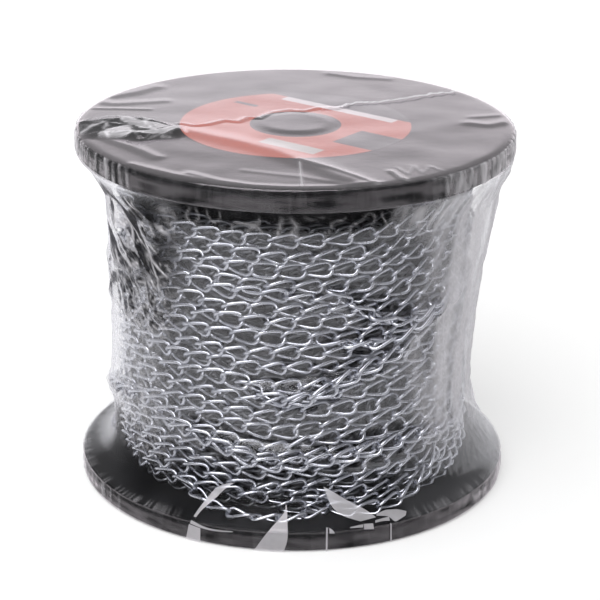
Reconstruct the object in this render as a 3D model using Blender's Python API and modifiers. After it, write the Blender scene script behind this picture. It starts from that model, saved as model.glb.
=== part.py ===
"""Shrink-wrapped reel of steel chain.

A plastic reel stands on one flange, full of zinc-plated chain, and clear film is shrunk round it.
Lengths below are in millimetres, and MM turns them into Blender's metres. +Z is up along the
reel's axis, and the origin is the centre of the face that the wrapped reel stands on. An azimuth is
in degrees, 0 at the front (-Y) and 90 at the right (+X).
"""

import math

import bmesh
import bpy
from mathutils import Vector, noise

MM = 0.001

# Reel
FLANGE_RADIUS = 100.0
FLANGE_THICKNESS = 9.5
FLANGE_EDGE_CHAMFER = 0.9
REEL_HEIGHT = 166.6
BORE_RADIUS = 20.0
BARREL_OUTER_RADIUS = 25.0
BARREL_WALL = 3.0
SOCKET_DEPTH = 3.0

# Chain, wound turn beside turn and layer on layer
CHAIN_RADIUS = 83.0
CHAIN_LAYER = 5.0
CHAIN_TURNS = 19
TURN_PITCH = 6.8
FIRST_TURN_RISE = 4.2
OUTER_LAYER_HEADROOM = 13.5
TURN_GAP_DEPTH = 2.2
TURN_CREST_SHARE = 0.28

# How the turns rise and sink: neighbours together, each alone, and how near the winding's ends that fades
WANDER_TOGETHER = 4.2
WANDER_ALONE = 2.6
WANDER_SEED = 5.3
WANDER_FADE = 12.0
WINDING_RADIUS = 79.4
CROSSOVER = 15.0
CLOSEST_TURNS = 2.4

# Label on the upper flange
LABEL_OUTER_RADIUS = 53.0
LABEL_INNER_RADIUS = 21.0
LABEL_THICKNESS = 0.2

# Film, which hangs between the rims and the chain
FILM_THICKNESS = 0.1
FILM_EDGE_CHAMFER = 0.8
FILM_UNDER_RADIUS = 58.0
# Height, and the film's radius there at the left, at the front and back, and at the right
FILM_WAIST = [
    (155.0, 97.8, 98.4, 99.5),
    (151.0, 93.8, 94.2, 97.6),
    (146.0, 90.6, 90.2, 96.0),
    (140.0, 88.8, 87.0, 94.4),
    (130.0, 87.6, 84.8, 93.0),
    (118.0, 87.2, 84.0, 91.2),
    (100.0, 86.4, 83.8, 87.6),
    (83.0, 86.0, 83.7, 85.4),
    (60.0, 86.0, 83.7, 84.4),
    (45.0, 86.6, 83.8, 84.6),
    (28.0, 85.2, 84.6, 88.8),
    (20.0, 85.6, 87.0, 93.0),
    (15.0, 88.0, 91.2, 96.0),
    (11.8, 93.5, 96.0, 98.4),
]

# Clearances between pieces that touch
SEAT_GAP = 0.3
LABEL_GAP = 0.15

# Facets round each piece
REEL_FACETS = 72
CHAIN_FACETS = 40
LOFT_FACETS = 72
BARREL_FACETS = 36

# Levels and radii that follow
REEL_BOTTOM = FILM_THICKNESS + SEAT_GAP
REEL_TOP = REEL_BOTTOM + REEL_HEIGHT
LOWER_FLANGE_FACE = REEL_BOTTOM + FLANGE_THICKNESS
UPPER_FLANGE_FACE = REEL_TOP - FLANGE_THICKNESS
BARREL_INNER_RADIUS = BARREL_OUTER_RADIUS - BARREL_WALL
CHAIN_BOTTOM = LOWER_FLANGE_FACE + SEAT_GAP
CHAIN_TOP = UPPER_FLANGE_FACE - SEAT_GAP
OUTER_LAYER_INNER_RADIUS = CHAIN_RADIUS - CHAIN_LAYER
OUTER_LAYER_TOP = UPPER_FLANGE_FACE - OUTER_LAYER_HEADROOM
LABEL_BOTTOM = REEL_TOP + LABEL_GAP
LABEL_TOP = LABEL_BOTTOM + LABEL_THICKNESS
FILM_RADIUS = FLANGE_RADIUS + SEAT_GAP
FILM_TOP = LABEL_TOP + SEAT_GAP


def clear_scene():
    for obj in list(bpy.data.objects):
        bpy.data.objects.remove(obj, do_unlink=True)


def make_material(name, colour, roughness, metallic=0.0, alpha=1.0):
    material = bpy.data.materials.new(name)
    material.use_nodes = True
    shader = material.node_tree.nodes["Principled BSDF"]
    shader.inputs["Base Color"].default_value = (*colour, 1.0)
    shader.inputs["Roughness"].default_value = roughness
    shader.inputs["Metallic"].default_value = metallic
    shader.inputs["Alpha"].default_value = alpha
    material.diffuse_color = (*colour, alpha)
    return material


def turned(name, profile, facets, material, collection):
    """A piece turned round Z from (radius, height) points that run down its outer side."""
    mesh = bpy.data.meshes.new(name)
    work = bmesh.new()
    corners = [work.verts.new((radius * MM, 0.0, height * MM)) for radius, height in profile]
    for first, second in zip(corners, corners[1:]):
        work.edges.new((first, second))
    work.edges.new((corners[-1], corners[0]))
    work.to_mesh(mesh)
    work.free()
    piece = bpy.data.objects.new(name, mesh)
    piece.data.materials.append(material)
    collection.objects.link(piece)
    turn = piece.modifiers.new("turn", "SCREW")
    turn.axis = "Z"
    turn.angle = math.tau
    turn.steps = facets
    turn.render_steps = facets
    turn.use_merge_vertices = True
    turn.merge_threshold = 0.00001
    turn.use_smooth_shade = True
    return piece


def flange(name, outer_face, inner_face, material, collection):
    """A flat disc with the reel's bore, and on its inner face a round socket for the barrel's end."""
    inward = 1.0 if inner_face > outer_face else -1.0
    chamfer = FLANGE_EDGE_CHAMFER
    socket_floor = inner_face - inward * (SOCKET_DEPTH + SEAT_GAP)
    socket_outer = BARREL_OUTER_RADIUS + SEAT_GAP
    socket_inner = BARREL_INNER_RADIUS - SEAT_GAP
    profile = [
        (BORE_RADIUS, outer_face + inward * chamfer),
        (BORE_RADIUS + chamfer, outer_face),
        (FLANGE_RADIUS - chamfer, outer_face),
        (FLANGE_RADIUS, outer_face + inward * chamfer),
        (FLANGE_RADIUS, inner_face - inward * chamfer),
        (FLANGE_RADIUS - chamfer, inner_face),
        (socket_outer, inner_face),
        (socket_outer, socket_floor),
        (socket_inner, socket_floor),
        (socket_inner, inner_face),
        (BORE_RADIUS, inner_face),
    ]
    if inward > 0:
        profile.reverse()
    return turned(name, profile, REEL_FACETS, material, collection)


def ring(name, radii, heights, facets, material, collection):
    inner, outer = radii
    bottom, top = heights
    profile = [(inner, top), (outer, top), (outer, bottom), (inner, bottom)]
    return turned(name, profile, facets, material, collection)


def loft(name, section_at, closed, material, collection):
    """A skin through the sections that section_at gives for each azimuth, as (radius, height) points."""
    mesh = bpy.data.meshes.new(name)
    work = bmesh.new()
    columns = []
    for column in range(LOFT_FACETS):
        azimuth = column * 360.0 / LOFT_FACETS
        angle = math.radians(azimuth)
        section = section_at(azimuth)
        if closed:
            section.append(section[0])
        columns.append([
            work.verts.new((radius * math.sin(angle) * MM, -radius * math.cos(angle) * MM, height * MM))
            for radius, height in section
        ])
    for column, points in enumerate(columns):
        beside = columns[(column + 1) % LOFT_FACETS]
        for low in range(len(points) - 1):
            work.faces.new((points[low], points[low + 1], beside[low + 1], beside[low]))
    bmesh.ops.remove_doubles(work, verts=work.verts, dist=0.00001)
    work.to_mesh(mesh)
    work.free()
    mesh.shade_smooth()
    piece = bpy.data.objects.new(name, mesh)
    piece.data.materials.append(material)
    collection.objects.link(piece)
    return piece


def lumps(point, size, seed, flatten):
    """Smooth noise, about -1 to 1, with lumps of this size that are lower than they are wide."""
    x, y, z = point
    return noise.noise(Vector((x / size + seed, y / size - 2 * seed, z / size * flatten + 3 * seed)))


def turn_height(turn, azimuth):
    """The height of a turn of chain at an azimuth. It climbs all the way round and crosses back at the rear."""
    azimuth = (azimuth + 180) % 360 - 180
    side = math.copysign(1.0, azimuth)
    climb = azimuth / 360
    if abs(azimuth) > 180 - CROSSOVER:
        climb = side * (180 - abs(azimuth)) / CROSSOVER * (180 - CROSSOVER) / 360
    height = LOWER_FLANGE_FACE + FIRST_TURN_RISE + (turn - 0.5 + climb) * TURN_PITCH
    angle = math.radians(azimuth)
    point = (WINDING_RADIUS * math.sin(angle), -WINDING_RADIUS * math.cos(angle), height)
    together = lumps(point, 42.0, WANDER_SEED, 0.6)
    alone = lumps(point, 26.0, WANDER_SEED + 3, 3.5)
    room = min(height - LOWER_FLANGE_FACE - 3.5, OUTER_LAYER_TOP + 2.5 - height)
    fade = min(max(room / WANDER_FADE, 0.0), 1.0)
    return height + (WANDER_TOGETHER * together + WANDER_ALONE * alone) * fade


def turn_heights(azimuth):
    """The heights of all the turns at an azimuth, from the top down, kept apart and within the layer."""
    heights = [turn_height(turn, azimuth) for turn in range(CHAIN_TURNS + 1)]
    for turn, height in enumerate(heights):
        heights[turn] = max(height, CHAIN_BOTTOM + CLOSEST_TURNS * (turn + 0.6))
        if turn:
            heights[turn] = max(heights[turn], heights[turn - 1] + CLOSEST_TURNS)
    heights.reverse()
    for turn, height in enumerate(heights):
        heights[turn] = min(height, OUTER_LAYER_TOP - CLOSEST_TURNS * (turn + 0.6))
        if turn:
            heights[turn] = min(heights[turn], heights[turn - 1] - CLOSEST_TURNS)
    return heights


def outer_layer_section(azimuth):
    """The outer layer's section: one flat crest for each turn of chain, with a gap above and below it."""
    groove = CHAIN_RADIUS - TURN_GAP_DEPTH
    heights = turn_heights(azimuth)
    section = [(OUTER_LAYER_INNER_RADIUS, OUTER_LAYER_TOP), (groove, OUTER_LAYER_TOP)]
    above = OUTER_LAYER_TOP
    for height, below in zip(heights, [*heights[1:], CHAIN_BOTTOM]):
        section.append((CHAIN_RADIUS, height + TURN_CREST_SHARE * (above - height)))
        section.append((CHAIN_RADIUS, height - TURN_CREST_SHARE * (height - below)))
        section.append((groove, (height + below) / 2 if below > CHAIN_BOTTOM else below))
        above = height
    section.append((OUTER_LAYER_INNER_RADIUS, CHAIN_BOTTOM))
    return section


def film_section(azimuth):
    """The film's inner side, from the middle of its top down its outside and in under the reel."""
    corner = FILM_EDGE_CHAMFER
    side = math.sin(math.radians(azimuth))
    left_share = max(-side, 0.0) ** 2
    right_share = max(side, 0.0) ** 2
    middle_share = 1.0 - left_share - right_share
    section = [
        (0.0, FILM_TOP),
        (FILM_RADIUS - corner, FILM_TOP),
        (FILM_RADIUS, FILM_TOP - corner),
        (FILM_RADIUS, UPPER_FLANGE_FACE),
    ]
    for height, left, middle, right in FILM_WAIST:
        section.append((left * left_share + middle * middle_share + right * right_share, height))
    section += [
        (FILM_RADIUS, LOWER_FLANGE_FACE),
        (FILM_RADIUS, FILM_THICKNESS + corner),
        (FILM_RADIUS - corner, FILM_THICKNESS),
        (FILM_UNDER_RADIUS, FILM_THICKNESS),
    ]
    return section


def film(material, collection):
    """One sheet, closed over the upper flange and open under the reel where it shrank back."""
    piece = loft("shrink_film", film_section, False, material, collection)
    sheet = piece.modifiers.new("sheet", "SOLIDIFY")
    sheet.thickness = FILM_THICKNESS * MM
    sheet.offset = 1.0
    sheet.use_even_offset = True
    return piece


def build():
    clear_scene()
    collection = bpy.data.collections.new("wrapped_chain_reel")
    bpy.context.scene.collection.children.link(collection)

    black_plastic = make_material("black_plastic", (0.022, 0.022, 0.024), 0.42)
    zinc_steel = make_material("zinc_plated_steel", (0.62, 0.63, 0.65), 0.28, metallic=1.0)
    orange_paper = make_material("orange_paper", (0.78, 0.16, 0.06), 0.5)
    clear_film = make_material("clear_film", (0.93, 0.94, 0.96), 0.12, alpha=0.25)

    flange("lower_flange", REEL_BOTTOM, LOWER_FLANGE_FACE, black_plastic, collection)
    flange("upper_flange", REEL_TOP, UPPER_FLANGE_FACE, black_plastic, collection)

    barrel_radii = (BARREL_INNER_RADIUS, BARREL_OUTER_RADIUS)
    barrel_heights = (LOWER_FLANGE_FACE - SOCKET_DEPTH, UPPER_FLANGE_FACE + SOCKET_DEPTH)
    ring("barrel", barrel_radii, barrel_heights, BARREL_FACETS, black_plastic, collection)

    inner_radii = (BARREL_OUTER_RADIUS + SEAT_GAP, OUTER_LAYER_INNER_RADIUS - 2 * SEAT_GAP)
    inner_heights = (CHAIN_BOTTOM, CHAIN_TOP)
    ring("chain_inner_layers", inner_radii, inner_heights, CHAIN_FACETS, zinc_steel, collection)
    loft("chain_outer_layer", outer_layer_section, True, zinc_steel, collection)

    label_radii = (LABEL_INNER_RADIUS, LABEL_OUTER_RADIUS)
    ring("label", label_radii, (LABEL_BOTTOM, LABEL_TOP), REEL_FACETS, orange_paper, collection)
    film(clear_film, collection)


build()
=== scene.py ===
"""Looks of the shrink-wrapped reel of steel chain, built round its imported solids.

Lengths are in millimetres, and MM turns them into Blender's metres. +Z is up along the reel's axis.
An azimuth is in degrees, 0 at the front (-Y, where the camera stands) and positive to the camera's right.
"""
import math
from collections import namedtuple
from itertools import product
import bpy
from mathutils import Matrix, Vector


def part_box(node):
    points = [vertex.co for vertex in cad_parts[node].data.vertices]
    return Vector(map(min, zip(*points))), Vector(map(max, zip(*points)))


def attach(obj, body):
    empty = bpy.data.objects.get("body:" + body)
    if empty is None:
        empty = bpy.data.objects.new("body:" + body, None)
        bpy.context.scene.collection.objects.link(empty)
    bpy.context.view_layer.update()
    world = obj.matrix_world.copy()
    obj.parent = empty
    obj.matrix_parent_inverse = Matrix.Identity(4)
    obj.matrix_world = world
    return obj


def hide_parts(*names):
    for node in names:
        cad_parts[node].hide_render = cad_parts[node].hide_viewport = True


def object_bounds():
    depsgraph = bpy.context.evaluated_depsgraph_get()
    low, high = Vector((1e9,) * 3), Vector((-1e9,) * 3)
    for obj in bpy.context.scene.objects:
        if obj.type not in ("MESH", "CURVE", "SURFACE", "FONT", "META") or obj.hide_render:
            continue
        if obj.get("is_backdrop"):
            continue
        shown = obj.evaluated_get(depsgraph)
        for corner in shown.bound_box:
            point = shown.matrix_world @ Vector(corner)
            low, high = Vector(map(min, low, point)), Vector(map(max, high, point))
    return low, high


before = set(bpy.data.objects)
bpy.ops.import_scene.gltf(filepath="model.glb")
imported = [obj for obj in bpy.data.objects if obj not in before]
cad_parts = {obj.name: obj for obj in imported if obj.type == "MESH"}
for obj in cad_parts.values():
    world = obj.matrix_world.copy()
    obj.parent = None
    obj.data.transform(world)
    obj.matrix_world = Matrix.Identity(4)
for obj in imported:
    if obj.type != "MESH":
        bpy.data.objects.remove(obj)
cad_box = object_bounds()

from types import SimpleNamespace

import bpy
import numpy as np
from mathutils import Matrix, Vector, noise
from mathutils.bvhtree import BVHTree

MM = 0.001

# Camera, fitted to the rims of the two flanges
CAMERA_DISTANCE = 1014.5
CAMERA_ELEVATION = 20.59
CAMERA_ROLL = 0.6
CAMERA_TARGET_HEIGHT = 83.8
CAMERA_SIGHT = 20000.0
FOCAL_LENGTH = 129.22
SENSOR_WIDTH = 36.0
SHIFT_X = 0.01047
SHIFT_Y = -0.00857
PICTURE_SIZE = 600

# Studio: brightness of the room near its horizon, above and behind the camera, and where it falls off
ROOM_HORIZON = 1.25
ROOM_ABOVE = 0.45
ROOM_FRONT = 0.2
ROOM_HEIGHTS = (0.22, 0.37)
ROOM_DEPTHS = (-0.65, 0.1)
# Softboxes: place, size, and power in watts
SOFTBOXES = {
    "key_softbox": ((-250, -500, 1300), 1200, 17.0),
    "low_lamp": ((-350, -1050, 850), 800, 8.0),
}
SOFTBOX_TARGET = (0, 0, 80)
FLOOR_SIZE = 12000.0
# Painted light on the floor: how much it glows at the front and at the back, and the depths between which
# that changes
FLOOR_GLOW_FRONT = 0.25
FLOOR_GLOW_BACK = 0.75
FLOOR_GLOW_DEPTHS = (-500, 700)

# Reel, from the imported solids
UPPER_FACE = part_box("upper_flange")[0][2] / MM
LOWER_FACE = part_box("lower_flange")[1][2] / MM
FLANGE_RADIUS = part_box("upper_flange")[1][0] / MM
CHAIN_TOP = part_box("chain_outer_layer")[1][2] / MM
FILM_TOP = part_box("shrink_film")[1][2] / MM - 0.05
FILM_RIM_RADIUS = FLANGE_RADIUS + 0.25

# Chain link
WIRE = 1.75
LINK_PITCH = 11.5
LINK_WIDTH = 8.0
LINK_TWIST = -42.0
LINK_ROLL = 22.0
# Rings along a link's wire and sides round it, and points along it for drawing the film over it
OUTER_LINK_DETAIL = (22, 8)
INNER_LAYERS = {"chain_second_layer": (14, 6), "chain_third_layer": (12, 5)}
WIRE_POINTS = 80

# Winding
OUTER_LAYER_RADIUS = 79.4
LAYER_STEP = 4.3
TURNS = 19.5
TURN_PITCH = 6.8
FIRST_TURN_HEIGHT = LOWER_FACE + 4.2
LOWEST_TURN = LOWER_FACE + 2.5
CORE_RADIUS = 67.0
CORE_RIDGES = 1.5
CORE_GRID = (90, 120)
# How the turns wander: amount in millimetres or degrees, size of the waves, seed and flatness
WANDER = {
    "together": (4.2, 42, 0, 0.6),
    "alone": (2.6, 26, 3, 3.5),
    "outwards": (1.6, 22, 6, 3.0),
    "roll": (50, 34, 7, 3.2),
    "jitter": (34, 7, 8, 1.0),
}
WANDER_SEED = 5.3
LAYER_SEED_STEP = 11
WANDER_FROM = LOWER_FACE + 3.5
WANDER_TO = CHAIN_TOP + 2.5
WANDER_FADE = 12.0

# Slack strands over the outermost turns: their links' roll, and azimuth, height and radius along each
SLACK_STRANDS = [
    (20, [(-46, 46, 80), (-24, 42, 84), (-15, 38, 85), (-8, 35.5, 85), (1, 36, 85), (15, 38, 84.5),
          (29, 40, 84), (37, 41, 84), (55, 38.5, 83), (74, 33, 80)]),
    (15, [(8, 15, 80), (17, 12.6, 86), (26, 13, 88), (36, 15, 87), (46, 20, 84), (56, 26, 80)]),
    (25, [(-14, 69, 80), (-2, 66, 84), (8, 69, 84.5), (18, 76, 84), (30, 82, 83.5), (46, 86, 80)]),
    (80, [(14, 113, 80), (24, 104, 83.5), (33, 99, 84.5), (43, 100, 84.5), (55, 107, 84), (70, 111, 80)]),
    (85, [(12, 92, 80), (26, 90, 83.5), (40, 95, 84.5), (56, 103, 84), (76, 104, 80)]),
    (20, [(120, 60, 80), (140, 66, 84), (160, 74, 84.5), (184, 76, 84), (206, 70, 80)]),
    (20, [(196, 110, 80), (216, 104, 84), (238, 100, 84.5), (262, 106, 84), (282, 114, 80)]),
    (20, [(-118, 30, 80), (-100, 36, 84), (-80, 44, 84.5), (-62, 50, 84), (-46, 52, 80)]),
]
# The strand that lies loose on the lower flange, clear of the film
FOOT_STRANDS = [
    (72, [(-36, 17, 80), (-27, 13, 85), (-20, 12, 88), (-13, 11.8, 90.5), (-6, 11.8, 91), (0, 11.8, 89.5),
          (6, 12, 86.5), (13, 14, 81)]),
]
SLACK_STEPS = 24
SLACK_ROLL_SWING = 22.0

# Label. How far its print is turned, and each printed area's colour and limits across and up it
LABEL_TURN = 37.0
DARK_INK = (0.018, 0.02, 0.024)
PALE_INK = (0.42, 0.40, 0.38)
WHITE_INK = (0.62, 0.57, 0.58)
LABEL_AREAS = [
    (DARK_INK, (-60, 60), (35, 60)),
    (WHITE_INK, (-31, 33), (29.3, 35)),
    (DARK_INK, (30, 60), (-12.5, 10)),
    (PALE_INK, (4.5, 35), (-33.5, -25)),
    (DARK_INK, (-45, -32), (11, 14)),
]

# Film. Its shine is what its two faces mirror, by one minus the cosine of the angle it is seen at
FILM_SHINE = [(0.0, 0.055), (0.293, 0.08), (0.5, 0.15), (0.658, 0.285), (0.741, 0.4), (0.826, 0.559),
              (0.913, 0.76), (1.0, 1.0)]
FILM_TINT = (1.0, 0.925, 0.985)
SIDE_FILM_TINT = (0.95, 0.95, 1.0)
FILM_CLEAR = (0.98, 0.98, 0.985, 1.0)
# Painted shade: the nearly black colour that the film lets through where shade is painted on it
FILM_PAINTED_SHADE = (0.07, 0.07, 0.08, 1.0)
FILM_MILK = (0.9, 0.88, 0.92, 1.0)
# Least and most haze without creases, and the haze where the film is seen edge on
THIN_HAZE = (0.0, 0.016)
FOLD_HAZE = (0.35, 0.6)
SEAL_HAZE = (0.5, 0.8)
EDGE_HAZE = 0.35
EDGE_HAZE_POWER = 6.0
FILM_AROUND = 600
FILM_SIDE_RINGS = 160
FILM_TOP_RINGS = 66
# Height, and how far out the film hangs there at the left, back, right and front, where it is drawn in
FILM_OUTLINE = [
    (157.5, 100.25, 100.25, 100.25, 100.25),
    (155.5, 98.0, 98.6, 99.4, 88.0),
    (153, 95.4, 96.0, 98.4, 85.4),
    (150, 92.6, 93.0, 97.0, 84.2),
    (146, 90.0, 89.6, 95.6, 83.6),
    (142, 88.4, 87.0, 94.2, 83.2),
    (134, 87.4, 84.8, 93.2, 82.8),
    (123, 86.8, 83.4, 91.6, 82.6),
    (105, 85.8, 82.8, 88.0, 82.6),
    (83, 85.2, 82.4, 85.2, 82.4),
    (60, 85.2, 82.4, 83.8, 82.4),
    (45, 86.0, 82.6, 83.8, 82.6),
    (28, 84.4, 83.6, 88.0, 84.2),
    (20, 85.0, 86.4, 92.4, 88.0),
    (15, 87.4, 90.6, 95.3, 93.4),
    (12.3, 90.6, 94.8, 97.6, 97.0),
    (10.8, 95.0, 98.0, 99.2, 98.8),
    (10.2, 99.4, 99.5, 99.8, 99.7),
    (9.6, 100.25, 100.25, 100.25, 100.25),
]
OUTLINE_PASSES = 5
UNDERSIDE_OPENING = 58.0
# Where the film bends over the upper rim, by radius and drop, and under the lower one, by radius and height
TOP_BEND = [(99.2, 0.1), (99.8, 0.4), (100.15, 1.0)]
FOOT_BEND = [(99.9, 0.35), (99.2, 0.12)]
# Tightening over the wires: reach round a wire's middle, what it loses a step away, and each pass's pull
WRAP_LEAST_RADIUS = 80.0
WRAP_REACH = 1.15
WRAP_STEP_LOSS = 0.45
WRAP_PULL = 0.02
WRAP_PASSES = 500
WRAP_BATCH = 20000

# Crumples are made of facets on a skewed table of random corners
FACET_TABLE = 97
FACET_SKEW = 0.577
FACET_STRETCH = 1.155
FACET_CREASE = 0.13

# Zones round the film, as azimuth, reach and fade
ALL_ROUND = (0, 180, 1)
DRAWN_IN_FRONT = (-3, 29, 14)
TIGHT_FRONT = (-3, 30, 8)
TIGHT_FOOT = (-30, 42, 12)
TIGHT_RIM = (-28, 36, 12)
RIGHT_SIDE = (72, 8, 34)
LEFT_EDGE = (-90, 14, 8)
HAZY_RIM = (74, 20, 16)
# Zones and their amounts, which add up: pleats, stripes and spikes
TOP_PLEATS = [(0.1, ALL_ROUND), (1.1, (-74, 20, 12)), (1.1, (70, 24, 16)), (0.4, (180, 70, 20))]
SIDE_PLEATS = [(0.02, ALL_ROUND), (0.9, (52, 16, 14)), (1.0, (-82, 12, 8)), (0.6, (150, 70, 20))]
FOOT_PLEATS = [(0.9, ALL_ROUND), (-0.75, (0, 40, 20))]
TOP_STRIPES = [(1.0, (-72, 22, 10)), (0.6, (70, 24, 14))]
FOOT_SPIKES = [(1.0, (-62, 26, 8)), (1.0, (62, 24, 8))]
# Areas of the film's side: a zone, and the heights where it starts, is full, is full no more and ends
ALL_HEIGHTS = (-2, -1)
SIDE_AREAS = {
    "shoulder": ((-56, 12, 9), (104, 116, 150, 156)),
    "crinkled": ((-62, 15, 12), (82, 94, 108, 118)),
    "left": ((-88, 34, 20), (18, 30, 88, 100)),
    "back": ((180, 60, 20), ALL_HEIGHTS),
    "shoulder_edge": ((-90, 6, 16), (116, 146)),
    "under_rim": (ALL_ROUND, (132, 150, 152, 157.3)),
    "wrinkled": (ALL_ROUND, (12, 20, 136, 146)),
    "wrinkle_haze": (ALL_ROUND, (22, 32, 136, 146)),
    "front_gap": (TIGHT_FRONT, (138, 143, 148, 152)),
}
RIGHT_SIDE_HEIGHTS = (20, 60)
RIGHT_SIDE_WAVER = 9.0
# The side's facets: their slant, how stretched they are along it, and each size's width, seed and squeeze
SIDE_RADIUS = 88.0
SLANT = (0.86, 0.5)
SLANT_STRETCH = 2.4
SIDE_FACETS = [(8.5, 5, 1.0), (4.2, 6, 1.0), (3.6, 8, 1.4)]
# How far crumpled film stands out, and what its large, middle and small facets add
SHOULDER_RELIEF = (3.0, 2.0, 0.6, 0.0)
CRINKLED_RELIEF = (1.8, 0.0, 0.6, 1.1)
QUIET_RELIEF = (1.5, 0.0, 1.2, 0.5)
CRUMPLE_RELIEF = (2.0, 1.8, 0.3)

# Creases that stand up in the film over the upper flange: points (x, y), height, width and milkiness
TOP_CREASES = [
    ([(-51, -14), (-30, -28), (-10, -44), (12, -70), (30, -95)], 0.55, 6.0, 0.0),
    ([(2, -58), (16, -70), (30, -86), (38, -96)], 0.35, 1.6, 0.12),
    ([(41, -73), (45, -84), (51, -88)], 0.4, 1.4, 0.15),
    ([(-45, -79), (-32, -89), (-18, -95), (-1, -97), (20, -96), (37, -91)], 0.35, 2.2, 0.05),
    ([(-22, -74), (3, -82), (20, -92)], 0.1, 2.0, 0.01),
    ([(-52, -4), (-46, -8), (-40, -5), (-32, 3), (-27, 0), (-22, 8), (-17, 6), (-11, 17), (-3, 21), (4, 19),
      (11, 25), (20, 25)], 0.6, 1.2, 0.14),
    ([(-104, 37), (-85, 29), (-62, 35)], 0.25, 3.4, 0.05),
    ([(-87, 43), (-77, 50), (-68, 60)], 0.35, 4.0, 0.0),
    ([(17, 89), (29, 83), (45, 80)], 0.22, 3.4, 0.0),
    ([(80, 2), (88, -1), (99, 6)], 0.3, 3.4, 0.0),
    ([(82, 12), (99, 17)], 0.15, 2.5, 0.02),
    ([(44, -68), (48, -77), (51, -64), (54, -75), (58, -65), (62, -71)], 0.1, 0.7, 0.2),
    ([(2, -62), (3, -96)], 0.15, 0.6, 0.35),
    ([(-100, 21), (-69, 20)], 0.2, 1.6, 0.06),
    ([(-70, -67), (-54, -79), (-39, -89)], 0.35, 2.5, 0.0),
    ([(-96, -16), (-86, -27), (-71, -42), (-60, -56)], 0.4, 3.0, 0.03),
]
# Folds of film, by the photograph's pixels that they cover: one edge and the other, and the lift
FILM_FOLDS = {
    "flap": ([(322.9, 486.4), (335.7, 493.6), (350, 502.9), (364.3, 509.3), (375.7, 517.9)],
        [(322.9, 486.4), (327, 497), (331.4, 507.9), (341, 516.5), (360, 522.1)], 0.7),
    "curl": ([(375.7, 515), (384.3, 510.7), (397.1, 510), (405.7, 512.1)],
        [(376, 516.6), (388, 516.8), (394.3, 522.9), (405, 516.4)], 0.9),
    "curl_edge": ([(375, 520.8), (382, 518.8), (388.6, 517.2)],
        [(375, 523.4), (382, 521.6), (389.4, 521.2)], 0.6),
    "rim_scrap": ([(363.6, 524.3), (372.8, 523.8)], [(363.9, 529), (373.6, 528.6)], 0.5),
    "rim_scrap_tail": ([(350, 527.6), (357, 525.9), (363, 524.6)],
        [(350, 528.6), (357, 528.2), (363, 527.9)], 0.5),
    "rim_tooth": ([(328.6, 527.9), (329.4, 530.4), (329.2, 533)],
        [(329, 528.2), (332.5, 530.5), (335, 533)], 0.5),
    "strip": ([(227, 483.4), (217.4, 486.6), (207.9, 497.9), (199, 509.3), (194, 517)],
        [(235, 482.6), (225.7, 488.4), (216.4, 498.6), (201.6, 510.9), (196.5, 518)], 0.7),
    "strip_end": ([(191.4, 520.5), (198.6, 523.5), (207.1, 527.4), (220, 529.8), (233, 530.9)],
        [(190.6, 523), (198.2, 526.3), (207.1, 529.4), (220, 531.3), (233, 531.7)], 0.5),
    "rim_patch": ([(189.3, 523.6), (187.6, 532), (185.7, 541.4)],
        [(200.7, 527.9), (200.7, 536), (200.7, 545)], 0.4),
    "tongue": ([(285.7, 505), (285.7, 512.1), (271.4, 527.9), (261.4, 539.3), (253.6, 551.4)],
        [(286.6, 505), (287.4, 512.1), (287.6, 527.9), (287.9, 539.3), (283.6, 552.1)], 0.4),
    "rim_line_middle": ([(326.1, 528), (325.6, 550.5)], [(327.6, 528), (327.1, 550.5)], 0.5),
    "rim_line_right": ([(389.8, 523.6), (389.8, 540)], [(391.2, 523.6), (391.2, 540)], 0.5),
}
FOLD_GRID = (20, 7)
FOLD_PASSES = 4
# The crumpled patch of the film over the upper flange, at its left
CRUMPLE_CENTRE = (-76, -14)
CRUMPLE_REACH = (27, 18)
CRUMPLE_TURN = -12
CRUMPLE_FACETS = [(12.0, 3), (5.5, 4)]
# The film over the upper flange is milky beyond this line: its corners' x and y
MILKY_EDGE = ((-52, -27, 11), (-4, 2, 25))
# The film's heat-sealed edge over the upper flange
SEAL_LINE = [(12, 23), (20, 25), (28, 33), (39, 35), (51, 41), (66, 50.5), (77, 54.5)]
SEAL_GRID = (120, 5)
SEAL_HALF_WIDTH = 0.9
SEAL_HEIGHT = 1.3


def place(azimuth, radius, height):
    """Points from an azimuth in degrees, a radius and a height."""
    angle = np.radians(azimuth)
    return np.stack(np.broadcast_arrays(radius * np.sin(angle), -radius * np.cos(angle), height), axis=-1)


def unit(vectors):
    return vectors / np.linalg.norm(vectors, axis=-1, keepdims=True)


def lumps(points, size, seed=0.0, flatten=1.0):
    """Smooth noise, about -1 to 1, with lumps of this size. flatten makes them lower than wide."""
    spots = points / size * (1, 1, flatten) + (seed, -2 * seed, 3 * seed)
    shape = spots.shape[:-1]
    return np.array([noise.noise(spot) for spot in spots.reshape(-1, 3).tolist()]).reshape(shape)


def ridges(values, width):
    """Narrow ridges, 0 to 1, along the lines where smooth noise crosses zero."""
    return np.clip(1 - np.abs(values) / width, 0, 1) ** 2


def rises(values, start, full):
    """0 up to the start and 1 from where it is full, smoothly."""
    share = np.clip((values - start) / (full - start), 0, 1)
    return share * share * (3 - 2 * share)


def falls(values, last, gone):
    """1 up to the last full value, and 0 from where it is gone."""
    return rises(-values, -gone, -last)


def band(values, start, full, last=1e3, gone=2e3):
    """Rises from start to full and falls from last, by default far off, until it is gone."""
    return rises(values, start, full) * falls(values, last, gone)


def zone(azimuths, centre, reach, fade):
    """1 within this reach of an azimuth, falling to 0 over the fade beyond it."""
    away = np.abs((azimuths - centre + 180) % 360 - 180)
    return falls(away, reach, reach + fade)


def zones(azimuths, amounts):
    """The sum of zones by their amounts."""
    return sum(amount * zone(azimuths, *around) for amount, around in amounts)


def lengths_along(line):
    """How far along a line each of its corners lies."""
    return np.concatenate([[0], np.cumsum(np.linalg.norm(np.diff(line, axis=0), axis=1))])


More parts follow.
